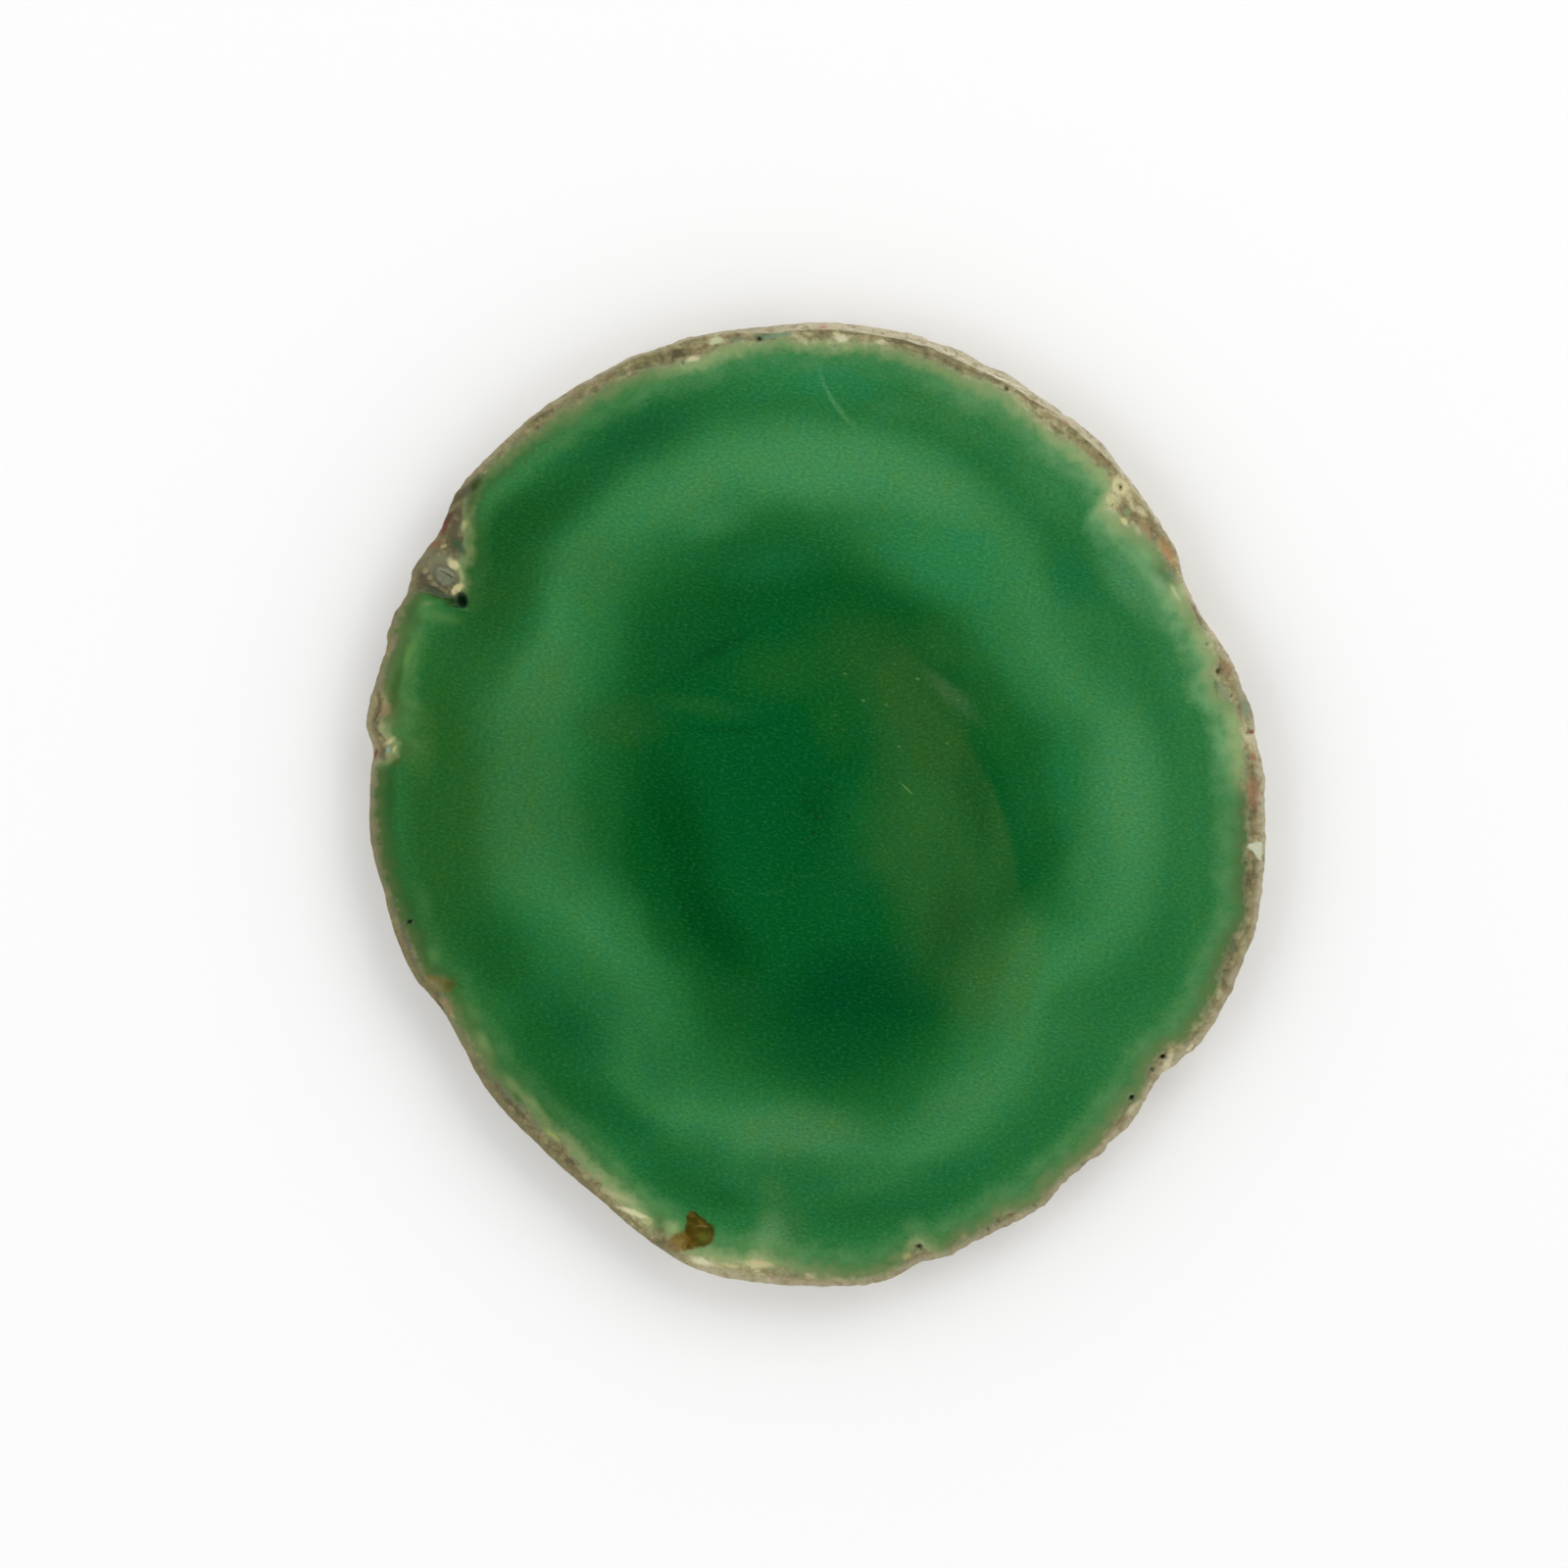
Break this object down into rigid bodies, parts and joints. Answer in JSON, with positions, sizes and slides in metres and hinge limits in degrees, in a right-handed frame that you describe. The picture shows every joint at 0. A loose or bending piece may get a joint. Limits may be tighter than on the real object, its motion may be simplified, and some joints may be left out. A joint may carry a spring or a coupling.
{
  "type": "agate slice",
  "caption": "Thin polished slice of a dyed green agate nodule, with soft milky banding and a rough natural rind round its edge, flat on both faces.",
  "frame": {"origin": "on the back face, at the middle of the slice's box", "axes": "+Z out of the front face, +Y along the slice's longer way, +X to the right seen from the front"},
  "size_m": [0.0734, 0.0794, 0.005],
  "materials": {
    "agate": "polished, slightly waxy stone"
  },
  "bodies": {
    "root": {"agate_slice": "agate"}
  },
  "joints": []
}
